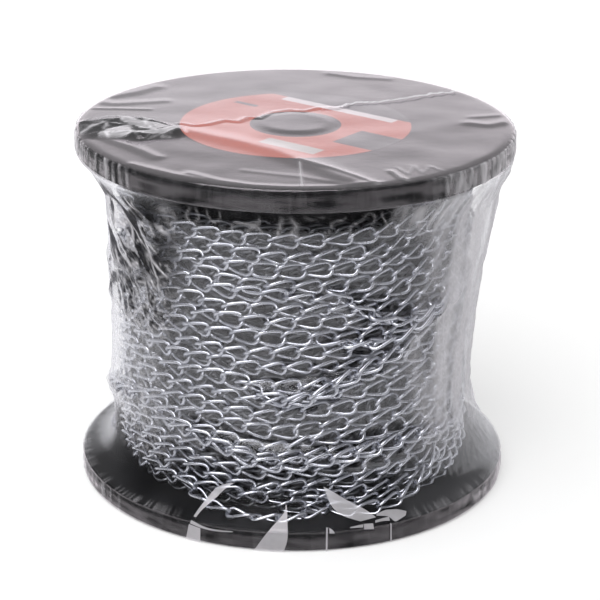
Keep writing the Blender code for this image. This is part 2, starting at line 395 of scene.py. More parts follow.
def soften(rows, passes):
    """Smooths rows of values in place and keeps the first and last row."""
    for _ in range(passes):
        rows[1:-1] = (rows[:-2] + 2 * rows[1:-1] + rows[2:]) / 4


# Heights from -1 to 1, how near each point is to a crease from 0 to 1, and each facet's shade from -1 to 1
Facets = namedtuple("Facets", "heights creases shades")


def facets(across, along, size, seed):
    """A crumple of flat triangular facets of about this size."""
    corners = np.random.RandomState(seed).uniform(-1, 1, (FACET_TABLE, FACET_TABLE))
    skewed = (across + FACET_SKEW * along) / size
    straight = FACET_STRETCH * along / size
    column, row = np.floor(skewed).astype(int), np.floor(straight).astype(int)
    x, y = skewed - column, straight - row
    here, right = column % FACET_TABLE, (column + 1) % FACET_TABLE
    level, above = row % FACET_TABLE, (row + 1) % FACET_TABLE
    near, far = corners[here, level], corners[right, above]
    beside = np.where(x < y, corners[here, above], corners[right, level])
    low, high = np.minimum(x, y), np.maximum(x, y)
    heights = near + high * (beside - near) + low * (far - beside)
    crease = np.minimum(np.minimum(low, 1 - high), high - low)
    shades = corners[(column + 31 + 17 * (x < y)) % FACET_TABLE, (row + 57) % FACET_TABLE]
    return Facets(heights, np.clip(1 - crease / FACET_CREASE, 0, 1), shades)


def relief(amounts, crumples):
    """How far film stands out: a level, and each crumple's facets by their amount."""
    return amounts[0] + sum(amount * crumple.heights for amount, crumple in zip(amounts[1:], crumples))


def mesh_piece(name, points, face_groups, material, replaced):
    """A smooth-shaded mesh from points in millimetres, which rides on the reel."""
    mesh = bpy.data.meshes.new(name)
    mesh.from_pydata((points * MM).tolist(), [], [face for group in face_groups for face in group.tolist()])
    mesh.materials.append(material)
    mesh.validate()
    mesh.shade_smooth()
    piece = bpy.data.objects.new(name, mesh)
    bpy.context.scene.collection.objects.link(piece)
    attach(piece, "root")
    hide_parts(replaced)
    return piece


def grid_faces(rings, sides, closed_rings=False, closed_sides=True):
    """Quads between rings of points, which may close on themselves either way."""
    ring = np.arange(rings if closed_rings else rings - 1)[:, None]
    side = np.arange(sides if closed_sides else sides - 1)[None, :]
    after = (ring + 1) % rings
    beside = (side + 1) % sides
    corners = [ring * sides + side, after * sides + side, after * sides + beside, ring * sides + beside]
    return np.stack(np.broadcast_arrays(*corners), axis=-1).reshape(-1, 4)


def node(tree, kind, inputs=None, **settings):
    """A shader node. inputs holds socket values, or sockets to link from."""
    made = tree.nodes.new(kind)
    for key, value in settings.items():
        setattr(made, key, value)
    for key, value in (inputs or {}).items():
        if isinstance(value, bpy.types.NodeSocket):
            tree.links.new(value, made.inputs[key])
        else:
            made.inputs[key].default_value = value
    return made


def new_material(name):
    """An empty material, its tree of nodes and the object coordinates in it."""
    material = bpy.data.materials.new(name)
    material.use_nodes = True
    tree = material.node_tree
    tree.nodes.clear()
    return material, tree, node(tree, "ShaderNodeTexCoord").outputs["Object"]


def noise_texture(tree, spot, scale, detail, roughness=0.5):
    inputs = {"Vector": spot, "Scale": scale, "Detail": detail, "Roughness": roughness}
    return node(tree, "ShaderNodeTexNoise", inputs).outputs["Fac"]


def bumps(tree, height, strength, distance):
    """The normal of a surface with fine bumps this far out."""
    inputs = {"Height": height, "Strength": strength, "Distance": distance * MM}
    return node(tree, "ShaderNodeBump", inputs).outputs["Normal"]


def rescaled(tree, value, low, high, first=0.0, last=1.0, **settings):
    """What lies between first and last, brought between low and high."""
    inputs = {"Value": value, "From Min": first, "From Max": last, "To Min": low, "To Max": high}
    return node(tree, "ShaderNodeMapRange", inputs, **settings).outputs["Result"]


def maths(tree, operation, first, second, **settings):
    settings["operation"] = operation
    return node(tree, "ShaderNodeMath", {0: first, 1: second}, **settings).outputs["Value"]


def mesh_mark(tree, name):
    """What the film's mark of this name says at each point."""
    return node(tree, "ShaderNodeAttribute", attribute_name=name).outputs["Fac"]


def mixed_colours(tree, share, first, second):
    return node(tree, "ShaderNodeMix", {"Factor": share, 6: first, 7: second}, data_type="RGBA").outputs[2]


def mixed_shaders(tree, share, first, second):
    return node(tree, "ShaderNodeMixShader", {"Fac": share, 1: first, 2: second}).outputs["Shader"]


def shader(tree, kind, **inputs):
    """A kind of shader. Its inputs' names have underscores for spaces."""
    inputs = {name.replace("_", " "): value for name, value in inputs.items()}
    return node(tree, "ShaderNodeBsdf" + kind, inputs).outputs["BSDF"]


def principled(tree, **inputs):
    """Gives a material a Principled surface."""
    node(tree, "ShaderNodeOutputMaterial", {"Surface": shader(tree, "Principled", **inputs)})


def colour_ramp(tree, factor, stops):
    ramp = node(tree, "ShaderNodeValToRGB", {"Fac": factor})
    elements = ramp.color_ramp.elements
    elements[0].position, elements[1].position = stops[0][0], stops[-1][0]
    for position, _ in stops[1:-1]:
        elements.new(position)
    for element, (_, colour) in zip(elements, stops):
        element.color = (*colour, 1.0)
    return ramp.outputs["Color"]


def zinc_material(name, bright, dark, roughness):
    """Zinc on steel wire, a little darker and duller in patches."""
    material, tree, spot = new_material(name)
    patches = noise_texture(tree, spot, 140.0, 4.0)
    colour = colour_ramp(tree, patches, [(0.35, dark), (0.62, bright)])
    rough = rescaled(tree, patches, roughness + 0.12, roughness - 0.06)
    grain = bumps(tree, noise_texture(tree, spot, 1900.0, 2.0), 0.12, 0.2)
    principled(tree, Base_Color=colour, Metallic=1.0, Roughness=rough, Normal=grain)
    return material


def plastic_material():
    """Moulded black plastic with a faint grain and scuffs."""
    material, tree, spot = new_material("moulded_black_plastic")
    cloud = noise_texture(tree, spot, 55.0, 6.0)
    colour = colour_ramp(tree, cloud, [(0.35, (0.004, 0.004, 0.0045)), (0.7, (0.009, 0.009, 0.01))])
    rough = rescaled(tree, cloud, 0.32, 0.5)
    grain = bumps(tree, noise_texture(tree, spot, 1500.0, 3.0), 0.1, 0.2)
    principled(tree, Base_Color=colour, Roughness=rough, Specular_IOR_Level=0.05, Normal=grain)
    return material


def within(tree, value, limits):
    """A mask that is 1 where a value lies between two limits in millimetres."""
    above = maths(tree, "GREATER_THAN", value, limits[0] * MM)
    below = maths(tree, "LESS_THAN", value, limits[1] * MM)
    return maths(tree, "MULTIPLY", above, below)


def label_material():
    """Orange-red paper, printed with plain dark and pale areas. Nothing is written on it."""
    material, tree, spot = new_material("printed_label_paper")
    fibre = noise_texture(tree, spot, 900.0, 5.0)
    colour = colour_ramp(tree, fibre, [(0.3, (0.40, 0.065, 0.03)), (0.7, (0.48, 0.085, 0.04))])
    turn = (0.0, 0.0, math.radians(LABEL_TURN))
    turned = node(tree, "ShaderNodeMapping", {"Vector": spot, "Rotation": turn})
    printed = node(tree, "ShaderNodeSeparateXYZ", {0: turned.outputs["Vector"]})
    for ink, across, up in LABEL_AREAS:
        masks = [within(tree, printed.outputs[axis], limits) for axis, limits in (("X", across), ("Y", up))]
        colour = mixed_colours(tree, maths(tree, "MULTIPLY", *masks), colour, (*ink, 1.0))
    principled(tree, Base_Color=colour, Roughness=0.5, Normal=bumps(tree, fibre, 0.2, 0.1))
    return material


def film_material(name, haze_range, ripples, tint=FILM_TINT, in_plies=False):
    """Clear shrink film: it shows what is behind it and mirrors the room, most at low angles.

    Its marks make it milky where it is creased, duller where it lies tight, and nearly black where shade is
    painted on it.
    """
    material, tree, spot = new_material(name)
    normal = bumps(tree, noise_texture(tree, spot, 260.0, 3.0, 0.6), ripples, 0.4)
    facing = node(tree, "ShaderNodeLayerWeight", {"Blend": 0.5, "Normal": normal}).outputs["Facing"]
    through = FILM_CLEAR
    if in_plies:
        # Painted shade: where its mark says so, the film lets through only a nearly black colour
        through = mixed_colours(tree, mesh_mark(tree, "plies"), FILM_CLEAR, FILM_PAINTED_SHADE)
    clear = shader(tree, "Transparent", Color=through)
    gloss = shader(tree, "Anisotropic", Color=(*tint, 1.0), Roughness=0.1, Normal=normal)
    shine = colour_ramp(tree, facing, [(share, (value,) * 3) for share, value in FILM_SHINE])
    loose = maths(tree, "SUBTRACT", 1.0, mesh_mark(tree, "tight"))
    film = mixed_shaders(tree, maths(tree, "MULTIPLY", shine, loose), clear, gloss)
    milk = shader(tree, "Translucent", Color=FILM_MILK)
    cloudy = mixed_shaders(tree, 0.65, milk, shader(tree, "Diffuse", Color=FILM_MILK))
    film = mixed_shaders(tree, film_haze(tree, spot, facing, haze_range), film, cloudy)
    node(tree, "ShaderNodeOutputMaterial", {"Surface": film})
    return material


def film_haze(tree, spot, facing, haze_range):
    """How milky the film is: a thin cloud, more where it is seen edge on, and its creases."""
    cloud = noise_texture(tree, spot, 45.0, 5.0)
    thin = rescaled(tree, cloud, *haze_range, first=0.35, last=0.75)
    edge = maths(tree, "POWER", facing, EDGE_HAZE_POWER)
    haze = maths(tree, "ADD", thin, maths(tree, "MULTIPLY", edge, EDGE_HAZE))
    return maths(tree, "ADD", haze, mesh_mark(tree, "crease"), use_clamp=True)


def floor_material():
    """A pale floor with painted light: it glows a little, more towards the back, standing in for the studio
    light falling off towards the front.
    """
    material, tree, spot = new_material("pale_floor")
    depth = node(tree, "ShaderNodeSeparateXYZ", {0: spot}).outputs["Y"]
    first, last = (limit * MM for limit in FLOOR_GLOW_DEPTHS)
    glow = rescaled(tree, depth, FLOOR_GLOW_FRONT, FLOOR_GLOW_BACK, first, last)
    grey, white = (0.5, 0.5, 0.5, 1.0), (1.0, 1.0, 1.0, 1.0)
    principled(tree, Base_Color=grey, Roughness=0.6, Emission_Color=white, Emission_Strength=glow)
    return material


def link_outline(steps):
    """Centres of a flat link's wire and the way out of the loop at each."""
    half_length = (LINK_PITCH + WIRE) / 2
    half_width = (LINK_WIDTH - WIRE) / 2
    straight = half_length - half_width
    arc = math.pi * half_width
    outline = 4 * straight + 2 * arc
    for step in range(steps):
        along = (step + 0.5) / steps * outline
        side = 1.0 if along < 2 * straight + arc else -1.0
        if side < 0:
            along -= 2 * straight + arc
        if along < 2 * straight:
            yield side * (along - straight), side * half_width, 0.0, side
        else:
            turn = (along - 2 * straight) / half_width
            out_x, out_y = side * math.sin(turn), side * math.cos(turn)
            yield side * straight + half_width * out_x, half_width * out_y, out_x, out_y


def link_wire(steps):
    """The same for a twisted link. X runs along the chain and Z out of the winding."""
    half_length = (LINK_PITCH + WIRE) / 2
    centres, outwards = [], []
    for x, y, out_x, out_y in link_outline(steps):
        twist = math.radians(LINK_TWIST) * x / half_length
        centres.append((x, y * math.cos(twist), y * math.sin(twist)))
        outwards.append((out_x, out_y * math.cos(twist), out_y * math.sin(twist)))
    return np.array(centres), np.array(outwards)


def across_to(vectors, tangents):
    """Unit vectors: the given ones, turned square to the tangents."""
    return unit(vectors - (vectors * tangents).sum(axis=1, keepdims=True) * tangents)


def link_mesh(steps, sides):
    """Points and quads of one twisted link."""
    centres, outwards = link_wire(steps)
    tangents = unit(np.roll(centres, -1, axis=0) - np.roll(centres, 1, axis=0))
    outwards = across_to(outwards, tangents)
    sideways = np.cross(tangents, outwards)
    around = (np.arange(sides) * math.tau / sides)[:, None]
    ring = np.cos(around) * outwards[:, None] + np.sin(around) * sideways[:, None]
    points = centres[:, None] + ring * WIRE / 2
    return points.reshape(-1, 3), grid_faces(steps, sides, closed_rings=True)


def link_axes(path, rolls):
    """Centres and axes of links spaced along a path and rolled about it."""
    length = lengths_along(path)
    stations = np.arange(0, length[-1], LINK_PITCH)
    centres = np.stack([np.interp(stations, length, path[:, axis]) for axis in range(3)], axis=1)
    rolls = np.radians(np.interp(stations, length, rolls))[:, None]
    tangents = unit(np.gradient(centres, axis=0))
    outwards = across_to(centres * (1, 1, 0), tangents)
    across = np.cross(outwards, tangents)
    rolled_across = np.cos(rolls) * across + np.sin(rolls) * outwards
    rolled_out = np.cos(rolls) * outwards - np.sin(rolls) * across
    return centres, np.stack([tangents, rolled_across, rolled_out], axis=1)


def links_along(path, rolls, steps, sides):
    """Points and quads of a chain whose links lie along a path."""
    centres, axes = link_axes(path, rolls)
    shape, quads = link_mesh(steps, sides)
    points = centres[:, None] + np.einsum("pk,lkx->lpx", shape, axes)
    faces = quads[None] + (np.arange(len(centres)) * len(shape))[:, None, None]
    return points.reshape(-1, 3), faces.reshape(-1, 4)


def wires_along(path, rolls):
    """Points close together on the middle of the wire of a chain's links."""
    centres, axes = link_axes(path, rolls)
    return (centres[:, None] + np.einsum("pk,lkx->lpx", link_wire(WIRE_POINTS)[0], axes)).reshape(-1, 3)


def winding_path(layer):
    """A layer's helix, which wanders up, down, in and out, and the roll of its links."""
    direction = 1 if layer % 2 == 0 else -1
    turn = np.linspace(0, TURNS, int(TURNS * 360))
    azimuth = direction * turn * 360
    radius = OUTER_LAYER_RADIUS - layer * LAYER_STEP
    height = FIRST_TURN_HEIGHT + (turn - 0.5) * TURN_PITCH
    spots = place(azimuth, radius, height)
    waves = {}
    for kind, (amount, size, seed, flatten) in WANDER.items():
        waves[kind] = amount * lumps(spots, size, WANDER_SEED + LAYER_SEED_STEP * layer + seed, flatten)
    ends = np.clip(np.minimum(height - WANDER_FROM, WANDER_TO - height) / WANDER_FADE, 0, 1)
    height += (waves["together"] + waves["alone"]) * ends
    rolls = LINK_ROLL + waves["roll"] + waves["jitter"]
    return place(azimuth, radius + waves["outwards"], np.maximum(height, LOWEST_TURN)), rolls


def smooth_path(corners, steps):
    """A smooth curve through (azimuth, height, radius) corners."""
    corners = np.array([corners[0], *corners, corners[-1]], float)
    share = np.linspace(0, 1, steps, endpoint=False)[:, None]
    spans = []
    for before, first, last, after in zip(corners, corners[1:], corners[2:], corners[3:]):
        slope = last - before
        bend = 2 * before - 5 * first + 4 * last - after
        turn = 3 * first - before - 3 * last + after
        spans.append(0.5 * (2 * first + slope * share + bend * share**2 + turn * share**3))
    azimuth, height, radius = np.concatenate(spans).T
    return place(azimuth, radius, height)


def chain_piece(name, chains, material, replaced):
    """One piece from the points and faces of one or more chains."""
    points = [chain[0] for chain in chains]
    firsts = np.cumsum([0, *map(len, points)])
    faces = [chain[1] + first for chain, first in zip(chains, firsts)]
    mesh_piece(name, np.concatenate(points), faces, material, replaced)


def build_chain():
    """The layers of links, the slack strands and the core. It returns points on the outermost wire."""
    bright = zinc_material("bright_zinc_wire", (0.55, 0.56, 0.61), (0.41, 0.42, 0.47), 0.24)
    # The inner layers get a darker copy of the zinc: painted shade, for their place deeper in the winding
    shade_painted_zinc = zinc_material("zinc_wire_painted_shade", (0.20, 0.205, 0.22), (0.13, 0.135, 0.15), 0.36)
    path, rolls = winding_path(0)
    middle = len(path) // 2
    halves = {"chain_lower_turns": slice(0, middle), "chain_upper_turns": slice(middle, len(path))}
    for name, half in halves.items():
        chain = links_along(path[half], rolls[half], *OUTER_LINK_DETAIL)
        chain_piece(name, [chain], bright, "chain_outer_layer")
    slack_wires = build_slack_strands(bright)
    for layer, (name, detail) in enumerate(INNER_LAYERS.items(), start=1):
        chain = links_along(*winding_path(layer), *detail)
        chain_piece(name, [chain], shade_painted_zinc, "chain_inner_layers")
    build_chain_core()
    return np.concatenate([wires_along(path, rolls), *slack_wires])


def build_slack_strands(material):
    """The slack strands. It returns the wires of those under the film."""
    chains, wires = [], []
    for index, (roll, corners) in enumerate(SLACK_STRANDS + FOOT_STRANDS):
        path = smooth_path(corners, SLACK_STEPS)
        rolls = roll + SLACK_ROLL_SWING * lumps(path, 14, index)
        chains.append(links_along(path, rolls, *OUTER_LINK_DETAIL))
        if index < len(SLACK_STRANDS):
            wires.append(wires_along(path, rolls))
    chain_piece("chain_slack_strands", chains, material, "chain_outer_layer")
    return wires


def build_chain_core():
    """The deeper layers, as one ridged drum behind the links, painted nearly black as their shade."""
    material = zinc_material("deep_chain_painted_shade", (0.04, 0.04, 0.043), (0.01, 0.01, 0.011), 0.6)
    rings, sides = CORE_GRID
    heights = np.linspace(UPPER_FACE - 0.4, LOWER_FACE + 0.4, rings)[:, None]
    azimuths = np.arange(sides) * 360 / sides
    ridged = CORE_RADIUS + CORE_RIDGES * lumps(place(azimuths, CORE_RADIUS, heights), 7, 2.0, flatten=1.6)
    drum = place(azimuths, ridged, heights).reshape(-1, 3), grid_faces(rings, sides)
    chain_piece("chain_deep_layers", [drum], material, "chain_inner_layers")


def hanging_film(azimuths):
    """Radii, heights and outward directions of the film's side, hung round nothing."""
    knots = np.array(FILM_OUTLINE)
    side = np.sin(np.radians(azimuths))
    left, right = np.clip(-side, 0, 1) ** 2, np.clip(side, 0, 1) ** 2
    knot_radii = knots[:, 1:2] * left + knots[:, 2:3] * (1 - left - right) + knots[:, 3:4] * right
    front = zone(azimuths, *DRAWN_IN_FRONT)
    knot_radii = knot_radii * (1 - front) + knots[:, 4:5] * front
    radii, heights = np.empty((2, FILM_SIDE_RINGS, len(azimuths)))
    for column, knot_radius in enumerate(knot_radii.T):
        outline = np.stack([knot_radius, knots[:, 0]], axis=1)
        radii[:, column], heights[:, column] = along_line(outline, np.linspace(0, 1, FILM_SIDE_RINGS)).T
    soften(radii, OUTLINE_PASSES)
    soften(heights, OUTLINE_PASSES)
    down = unit(np.stack([np.gradient(radii, axis=0), np.gradient(heights, axis=0)], axis=-1))
    return radii, heights, -down[..., 1], down[..., 0]


def resting_film(radii, heights, out, up, wires):
    """The least that each point of the film has to stand out to clear the wires."""
    wire_radii = np.hypot(wires[:, 0], wires[:, 1])
    outer = wire_radii > WRAP_LEAST_RADIUS
    wires, wire_radii, columns = wires[outer], wire_radii[outer], radii.shape[1]
    around = np.degrees(np.arctan2(wires[:, 0], -wires[:, 1])) % 360
    wire_columns = np.round(around / 360 * columns).astype(int) % columns
    resting = np.zeros(radii.shape)
    for start in range(0, len(wires), WRAP_BATCH):
        part = slice(start, start + WRAP_BATCH)
        column = wire_columns[part]
        away_out = wire_radii[part][:, None] - radii.T[column]
        away_up = wires[part, 2][:, None] - heights.T[column]
        ring = np.argmin(away_out**2 + away_up**2, axis=1)
        pick = np.arange(len(ring))
        proud = away_out[pick, ring] * out[ring, column] + away_up[pick, ring] * up[ring, column]
        for ring_step, column_step in product((-1, 0, 1), repeat=2):
            rise = math.sqrt(WRAP_REACH**2 - WRAP_STEP_LOSS * (ring_step**2 + column_step**2))
            near = np.clip(ring + ring_step, 0, len(radii) - 1)
            np.maximum.at(resting, (near, (column + column_step) % columns), proud + rise)
    return resting


def wrapped_film(resting):
    """How far the film stands out when drawn tight over what it rests on."""
    proud = resting.copy()
    for _ in range(WRAP_PASSES):
        spread = 2 * proud + np.roll(proud, 1, 1) + np.roll(proud, -1, 1)
        spread[1:-1] += proud[:-2] + proud[2:]
        spread[1:-1] /= 6
        spread[[0, -1]] = 0
        proud = np.maximum(resting, spread - WRAP_PULL)
    proud[[0, -1]] = 0
    return proud


def side_crumples(azimuths, heights, spots):
    """Large, middle and small facets on the film's side, leaning along its slant."""
    turned = np.radians((azimuths + 180) % 360 - 180)
    across = turned * SIDE_RADIUS + 3.0 * lumps(spots, 13, 40.1) + 0.8 * lumps(spots, 4, 44.3)
    along = heights + 3.0 * lumps(spots, 13, 50.7) + 0.8 * lumps(spots, 4, 54.9)
    over_slant = SLANT[0] * across + SLANT[1] * along
    down_slant = (SLANT[1] * across - SLANT[0] * along) / SLANT_STRETCH
    return [facets(over_slant, squeeze * down_slant, size, seed) for size, seed, squeeze in SIDE_FACETS]


def side_areas(azimuths, heights, spots):
    """Each point's share in the side's areas, and its pleats and fine wrinkles."""
    area = SimpleNamespace()
    for name, (around, levels) in SIDE_AREAS.items():
        setattr(area, name, zone(azimuths, *around) * band(heights, *levels))
    wavering = azimuths + RIGHT_SIDE_WAVER * lumps(spots, 24, 61.7, flatten=0.5)
    area.right = zone(wavering, *RIGHT_SIDE) * band(heights, *RIGHT_SIDE_HEIGHTS)
    upright = ridges(lumps(spots, 5.5, 3.1, flatten=0.10), 0.34)
    area.pleats = area.under_rim * zones(azimuths, SIDE_PLEATS) * upright
    area.wrinkles = ridges(lumps(spots, 4.5, 33.1), 0.3)
    return area


def side_shape(area, crumples):
    """How far wrinkles rise over the chain, and how far others stand clear of it."""
    quiet = 0.25 * area.left + 0.4 * area.right + 0.3 * area.back
    rise = quiet * relief(QUIET_RELIEF, crumples) + area.pleats + 0.2 * area.wrinkles * area.wrinkled
    shoulder = area.shoulder * relief(SHOULDER_RELIEF, crumples)
    return rise, np.maximum(shoulder, area.crinkled * relief(CRINKLED_RELIEF, crumples))


def side_plies(azimuths, area, crumples):
    """Painted shade: how dark the film is made at facets of the left shoulder and of the crinkled area,
    standing for the shade behind it.
    """
    large, middle, small = (crumple.shades for crumple in crumples)
    dark = area.shoulder * (1 - zone(azimuths, *LEFT_EDGE)) * np.clip(1.25 + 1.5 * large + 0.9 * middle, 0, 1)
    return np.maximum(dark, 0.9 * area.crinkled * rises(small, -0.2, 0.3))


def side_haze(spots, area, crumples, plies):
    """How milky the wrinkles make the film's side."""
    large, middle, small = crumples
    broken = np.clip(0.3 + 1.8 * lumps(spots, 8, 91.7), 0, 1)
    pale = rises(-large.shades - 0.4 * middle.shades, 0.7, 0.8)
    haze = area.shoulder * (broken * (0.95 * large.creases**2 + 0.7 * middle.creases**3) + 0.3 * pale)
    haze += 0.5 * area.crinkled * small.creases**2 + 0.5 * area.pleats
    haze += area.left * (0.02 + 0.26 * small.creases) + 0.05 * area.wrinkles * area.wrinkle_haze
    streaks = np.clip(0.75 + 1.1 * lumps(spots, 8, 17.9, flatten=0.2), 0.1, 1)
    haze += area.right * streaks * (0.78 + 0.2 * small.creases)
    cloudy = np.clip(0.75 + 0.8 * lumps(spots, 15, 81.3, flatten=0.4), 0, 1)
    haze += 0.6 * cloudy * (1 - 0.8 * plies) * area.shoulder_edge
    return haze + 0.4 * area.front_gap * ridges(lumps(spots, 9, 71.9), 0.12)


def side_tightness(azimuths, heights, proud, plies):
    """Where the film's side lies tight: in the gap, at the foot, over slack strands and where shade is
    painted on it.
    """
    gap_and_foot = 0.98 * rises(heights, 141, 145) + 0.93 * falls(heights, 24, 30)
    foot = falls(heights, 33, 43) * (0.1 + 0.85 * zone(azimuths, *TIGHT_FOOT))
    tight = np.maximum(zone(azimuths, *TIGHT_FRONT) * gap_and_foot, foot)
    return np.maximum(np.maximum(tight, 0.94 * plies), 0.85 * rises(proud, 0.9, 2.2))


def near_line(spots, line):
    """Distance from points to a line of corners, in the plane of the upper flange."""
    nearest = np.full(spots.shape[:-1], 1e9)
    line = np.array(line, float)
    for start, end in zip(line, line[1:]):
        along = end - start
        share = np.clip(((spots - start) @ along) / (along @ along), 0, 1)
        nearest = np.minimum(nearest, np.linalg.norm(spots - start - share[..., None] * along, axis=-1))
    return nearest


def top_wrinkles(points):
    """Height, haze and tightness of the wrinkled film over the upper flange."""
    flat = points[..., :2]
    from_axis = np.linalg.norm(flat, axis=-1)
    inside = falls(from_axis, 96, 99.6)
    height = (0.25 + 0.25 * lumps(points, 48, 4.4) + 0.10 * lumps(points, 17, 9.1)) * inside
    haze = np.zeros(height.shape)
    for line, rise, width, milk in TOP_CREASES:
        profile = np.exp(-((near_line(flat, line) / width) ** 2))
        height += rise * profile * inside
        haze += milk * profile
    patch_height, patch_haze, tight = crumpled_patch(points)
    beyond_edge = flat[..., 1] - np.interp(flat[..., 0], *MILKY_EDGE)
    milky = 0.09 * rises(beyond_edge, -0.5, 1.5) * falls(flat[..., 0], -10, 20) * inside
    hole = falls(from_axis, 13, 21)
    return height + patch_height + 0.35 * hole, haze + patch_haze + milky + 0.03 * hole, tight


def crumpled_patch(points):
    """Height, haze and tightness of the crumpled patch of that film."""
    turn = math.radians(CRUMPLE_TURN)
    warped = points[..., :2] + 3.5 * np.stack([lumps(points, 9, 31.3), lumps(points, 9, 41.9)], axis=-1)
    turning = np.array([[math.cos(turn), -math.sin(turn)], [math.sin(turn), math.cos(turn)]])
    away = (warped - CRUMPLE_CENTRE) @ turning
    patch = falls(np.linalg.norm(away / CRUMPLE_REACH, axis=-1), 0.8, 1.05)
    large, small = (facets(away[..., 0], away[..., 1], size, seed) for size, seed in CRUMPLE_FACETS)
    broken = np.clip(0.5 + 1.6 * lumps(points, 8, 51.7), 0, 1)
    haze = broken * (0.7 * large.creases**2 + 0.2 * small.creases**2) + 0.4 * rises(-large.shades, 0.1, 0.4)
    tight = rises(large.shades + 0.5 * small.shades, -0.45, -0.2)
    return patch * relief(CRUMPLE_RELIEF, (large, small)), patch * haze, patch * tight


def film_piece(name, points, faces, material, **marks):
    """A piece of film. Its marks are how creased or tight it is at each point, and how much shade is painted
    on it.
    """
    piece = mesh_piece(name, points, faces, material, "shrink_film")
    for mark, values in marks.items():
        attribute = piece.data.attributes.new(mark, "FLOAT", "POINT")
        attribute.data.foreach_set("value", values.astype(np.float32).ravel())
    return piece


def build_film_side(azimuths, wires, material):
    """The film between the flanges' rims, drawn over the chain and wrinkled."""
    radii, heights, out, up = hanging_film(azimuths)
    proud = wrapped_film(resting_film(radii, heights, out, up, wires))
    spots = place(azimuths, SIDE_RADIUS, heights)
    crumples = side_crumples(azimuths, heights, spots)
    area = side_areas(azimuths, heights, spots)
    plies = side_plies(azimuths, area, crumples)
    tight = side_tightness(azimuths, heights, proud, plies)
    rise, clear = side_shape(area, crumples)
    proud = np.maximum(proud + rise, clear)
    proud[[0, -1]] = 0
    on_flange = rises(radii, 95, 99) * falls(heights, 11, 14)
    spikes = ridges(lumps(place(azimuths, FLANGE_RADIUS, 0 * heights), 2.6, 61.3), 0.3)
    haze = side_haze(spots, area, crumples, plies) + 0.22 * spikes * on_flange * zones(azimuths, FOOT_SPIKES)
    points = place(azimuths, radii + proud * out, heights + proud * up).reshape(-1, 3)
    faces = grid_faces(FILM_SIDE_RINGS, FILM_AROUND)
    return film_piece("film_round_chain", points, [faces], material, crease=haze, tight=tight, plies=plies)


def ring_points(azimuths, rings):
    """Points round the reel on rings given by radius and height."""
    radii, heights = np.array(rings).T
    return place(azimuths, radii[:, None], heights[:, None])


def build_film_top(azimuths, material):
    """The film over the upper flange and down its rim."""
    rings = [(radius, FILM_TOP) for radius in np.linspace(1.4, 98.4, FILM_TOP_RINGS)]
    rings += [(radius, FILM_TOP - drop) for radius, drop in TOP_BEND]
    rings += [(FILM_RIM_RADIUS, height) for height in np.linspace(FILM_TOP - 1.8, UPPER_FACE, 8)]
    points = ring_points(azimuths, rings)
    haze = np.zeros(points.shape[:2])
    tight = rim_tightness(azimuths, points, FILM_TOP, 1.7)
    top = slice(0, FILM_TOP_RINGS)
    rise, haze[top], patch = top_wrinkles(points[top])
    tight[top] = np.maximum(tight[top], patch)
    points[top, :, 2] += rise
    rim = slice(FILM_TOP_RINGS + 1, -1)
    stripes = 3 * lumps(points[rim] * (1, 1, 0.2), 2.4, 25.5)
    striped = zones(azimuths, TOP_STRIPES)
    tight[rim] = np.maximum(tight[rim], striped * np.clip(stripes, 0, 1))
    haze[rim] += 0.3 * striped * np.clip(-stripes, 0, 1)
    rim_pleats(points[rim], haze[rim], zones(azimuths, TOP_PLEATS))
    haze[rim] += 0.2 * zone(azimuths, *HAZY_RIM)
    points = points.reshape(-1, 3)
    pole = points[:FILM_AROUND].mean(axis=0)
    first = np.arange(FILM_AROUND)
    cap = np.stack([first, (first + 1) % FILM_AROUND, np.full(FILM_AROUND, haze.size)], axis=1)
    faces = [grid_faces(len(rings), FILM_AROUND), cap]
    marks = {"crease": np.append(haze, 0), "tight": np.append(tight, 0)}
    return film_piece("film_over_top", np.concatenate([points, [pole]]), faces, material, **marks)


def rim_tightness(azimuths, points, top, contrast):
    """How tight the film lies on a rim: in low streaks, and most under its upper edge at the front left."""
    drop = top - points[..., 2]
    on_rim = rises(np.linalg.norm(points[..., :2], axis=-1), 99.5, 100.1) * rises(drop, 0.3, 1.0)
    streaks = np.clip(0.35 + contrast * lumps(points, 12, 21.3, flatten=4.5), 0, 1)
    edge = falls(drop, 2.0, 4.5) * zone(azimuths, *TIGHT_RIM)
    return on_rim * np.maximum(streaks, edge)


def rim_pleats(points, haze, strength):
    """Raises upright, milky pleats in the film on a rim, in place."""
    pleats = ridges(lumps(points * (1, 1, 0.12), 4.2, 15.5), 0.3) * strength
    points[..., :2] *= 1 + 0.006 * pleats[..., None]
    haze += 0.3 * pleats


def build_film_foot(azimuths, material):
    """The film round the lower flange's rim and under its edge."""
    rings = [(FILM_RIM_RADIUS, height) for height in np.linspace(LOWER_FACE - 0.3, 0.9, 9)]
    rings += FOOT_BEND
    rings += [(radius, 0.07) for radius in np.linspace(96, UNDERSIDE_OPENING, 8)]
    points = ring_points(azimuths, rings)
    haze = np.zeros(points.shape[:2])
    tight = rim_tightness(azimuths, points, LOWER_FACE, 0.9)
    rim_pleats(points[1:8], haze[1:8], zones(azimuths, FOOT_PLEATS))
    faces = grid_faces(len(rings), FILM_AROUND)
    return film_piece("film_round_foot", points.reshape(-1, 3), [faces], material, crease=haze, tight=tight)


def along_line(line, shares):
    """Points at shares of the way along a line of corners."""
    line = np.array(line, float)
    length = lengths_along(line)
    return np.stack([np.interp(shares * length[-1], length, values) for values in line.T], axis=-1)


